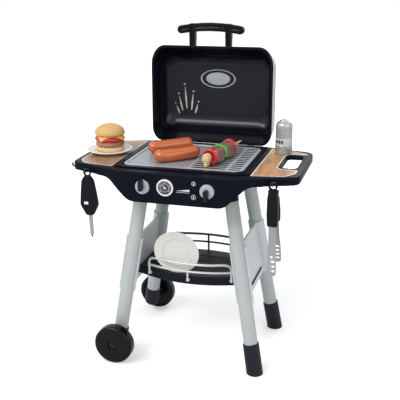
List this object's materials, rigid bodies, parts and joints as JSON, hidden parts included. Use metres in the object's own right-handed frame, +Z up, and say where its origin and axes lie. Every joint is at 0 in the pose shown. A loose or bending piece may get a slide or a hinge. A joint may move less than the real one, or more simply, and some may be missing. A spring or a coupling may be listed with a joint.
{
  "type": "toy barbecue grill",
  "caption": "Toy barbecue grill on splayed legs, with a hinged lid, turning knobs, wheels, a lower shelf with rails, play food and hanging tools.",
  "frame": {"origin": "on the floor, under the middle of the whole grill with its lid open", "axes": "+Z up, -Y towards the knobs and the child who plays, +X to that child's right"},
  "size_m": [0.4756, 0.3516, 0.6842],
  "materials": {
    "black_plastic": "satin moulded plastic",
    "boot_plastic": "matt moulded plastic",
    "silver_plastic": "satin grey-silver moulded plastic",
    "pale_plastic": "satin pale grey moulded plastic",
    "plate_plastic": "satin silver-painted plastic",
    "wood_print": "plastic panel printed with wood grain",
    "white_plastic": "gloss off-white plastic",
    "knob_grey": "satin mid grey plastic",
    "rail_silver": "silver plastic",
    "rail_dark": "dark grey plastic",
    "bun_plastic": "matt golden brown plastic",
    "meat_plastic": "matt dark brown plastic",
    "red_plastic": "gloss red plastic",
    "green_plastic": "gloss green plastic",
    "cheese_plastic": "gloss yellow plastic",
    "sausage_plastic": "gloss orange-brown plastic",
    "mushroom_plastic": "matt beige plastic",
    "shaker_silver": "silver plastic"
  },
  "bodies": {
    "grill": {"deck_shell": "black_plastic", "burner_box": "black_plastic", "cooking_plate": "plate_plastic", "left_table_inlay": "wood_print", "right_table_inlay": "wood_print", "dial_bezel": "white_plastic", "dial_face": "black_plastic", "hook_left_end": "rail_dark", "hook_left_front": "rail_dark", "hook_right_front": "rail_dark", "side_panel_left": "pale_plastic", "leg_front_left": "silver_plastic", "leg_back_left": "silver_plastic", "side_panel_right": "pale_plastic", "leg_front_right": "silver_plastic", "leg_back_right": "silver_plastic", "foot_front_right": "boot_plastic", "foot_back_right": "boot_plastic", "axle_boot_front_left": "boot_plastic", "axle_boot_back_left": "boot_plastic", "axle_pin_front": "boot_plastic", "axle_pin_back": "boot_plastic", "shelf": "black_plastic", "shelf_rail_front": "rail_silver", "shelf_rail_back": "rail_dark"},
    "lid": {"lid_shell": "silver_plastic", "lid_liner": "black_plastic", "lid_badge": "knob_grey", "lid_handle": "black_plastic"},
    "knob_left": {"knob_left_disc": "knob_grey", "knob_left_grip": "black_plastic"},
    "knob_right": {"knob_right_disc": "knob_grey", "knob_right_grip": "black_plastic"},
    "front_wheel": {"wheel_front": "black_plastic"},
    "back_wheel": {"wheel_back": "black_plastic"},
    "probe": {"probe_handle": "black_plastic", "probe_rod": "silver_plastic"},
    "tongs_front": {"tongs_front_grip": "black_plastic", "tongs_front_blade": "silver_plastic"},
    "tongs_back": {"tongs_back_grip": "black_plastic", "tongs_back_blade": "silver_plastic"},
    "rear_sausage": {"sausage_rear": "sausage_plastic"},
    "front_sausage": {"sausage_front": "sausage_plastic"},
    "skewer": {"skewer_stick": "rail_silver", "skewer_mushroom": "mushroom_plastic", "skewer_pepper_red_front": "red_plastic", "skewer_meat_front": "meat_plastic", "skewer_pepper_green": "green_plastic", "skewer_meat_back": "meat_plastic", "skewer_pepper_red_back": "red_plastic"},
    "shaker": {"shaker_body": "shaker_silver", "shaker_cap": "shaker_silver"},
    "plate_on_table": {"burger_plate": "white_plastic"},
    "burger_base": {"bun_bottom": "bun_plastic"},
    "burger_patty": {"patty": "meat_plastic"},
    "burger_tomato": {"tomato_slice": "red_plastic"},
    "burger_cheese": {"cheese_slice": "cheese_plastic"},
    "burger_top": {"bun_top": "bun_plastic"},
    "plate_in_rack": {"rack_plate": "white_plastic"}
  },
  "joints": [
    {"name": "lid_hinge", "type": "hinge", "parent": "grill", "child": "lid", "pos_m": [0.00526, 0.0869, 0.4218], "axis": [-1, 0, 0], "range_deg": [-92.3, 0]},
    {"name": "knob_left_turn", "type": "hinge", "parent": "grill", "child": "knob_left", "pos_m": [-0.05974, -0.16461, 0.3975], "axis": [0, -1, 0], "continuous": true},
    {"name": "knob_right_turn", "type": "hinge", "parent": "grill", "child": "knob_right", "pos_m": [0.07026, -0.16461, 0.3975], "axis": [0, -1, 0], "continuous": true},
    {"name": "front_wheel_spin", "type": "hinge", "parent": "grill", "child": "front_wheel", "pos_m": [-0.13924, -0.1541, 0.0415], "axis": [0, -1, 0], "continuous": true},
    {"name": "back_wheel_spin", "type": "hinge", "parent": "grill", "child": "back_wheel", "pos_m": [-0.13924, 0.1249, 0.0415], "axis": [0, -1, 0], "continuous": true},
    {"name": "probe_swing", "type": "hinge", "parent": "grill", "child": "probe", "pos_m": [-0.1828, -0.14461, 0.416], "axis": [0, -1, 0], "range_deg": [-20, 20]},
    {"name": "tongs_swing", "type": "hinge", "parent": "grill", "child": "tongs_front", "pos_m": [0.19332, -0.14461, 0.416], "axis": [0, -1, 0], "range_deg": [-12, 12]},
    {"name": "tongs_squeeze", "type": "hinge", "parent": "tongs_front", "child": "tongs_back", "pos_m": [0.19332, -0.13711, 0.4], "axis": [-1, 0, 0], "range_deg": [0, 15], "stiffness_Nm_per_rad": 0.06, "springref_deg": -6.88},
    {"name": "rear_sausage_lift", "type": "slide", "parent": "grill", "child": "rear_sausage", "axis": [0, 0, 1], "range_m": [0, 0.02]},
    {"name": "front_sausage_lift", "type": "slide", "parent": "grill", "child": "front_sausage", "axis": [0, 0, 1], "range_m": [0, 0.02]},
    {"name": "skewer_lift", "type": "slide", "parent": "grill", "child": "skewer", "axis": [0, 0, 1], "range_m": [0, 0.012]},
    {"name": "shaker_lift", "type": "slide", "parent": "grill", "child": "shaker", "axis": [0, 0, 1], "range_m": [0, 0.06]},
    {"name": "table_plate_lift", "type": "slide", "parent": "grill", "child": "plate_on_table", "axis": [0, 0, 1], "range_m": [0, 0.04]},
    {"name": "burger_base_lift", "type": "slide", "parent": "plate_on_table", "child": "burger_base", "axis": [0, 0, 1], "range_m": [0, 0.02]},
    {"name": "patty_lift", "type": "slide", "parent": "burger_base", "child": "burger_patty", "axis": [0, 0, 1], "range_m": [0, 0.015]},
    {"name": "tomato_lift", "type": "slide", "parent": "burger_patty", "child": "burger_tomato", "axis": [0, 0, 1], "range_m": [0, 0.015]},
    {"name": "cheese_lift", "type": "slide", "parent": "burger_tomato", "child": "burger_cheese", "axis": [0, 0, 1], "range_m": [0, 0.015]},
    {"name": "bun_top_lift", "type": "slide", "parent": "burger_cheese", "child": "burger_top", "axis": [0, 0, 1], "range_m": [0, 0.015]},
    {"name": "rack_plate_lift", "type": "slide", "parent": "grill", "child": "plate_in_rack", "axis": [-0.022, -0.2511, 0.9677], "range_m": [0, 0.06]}
  ]
}
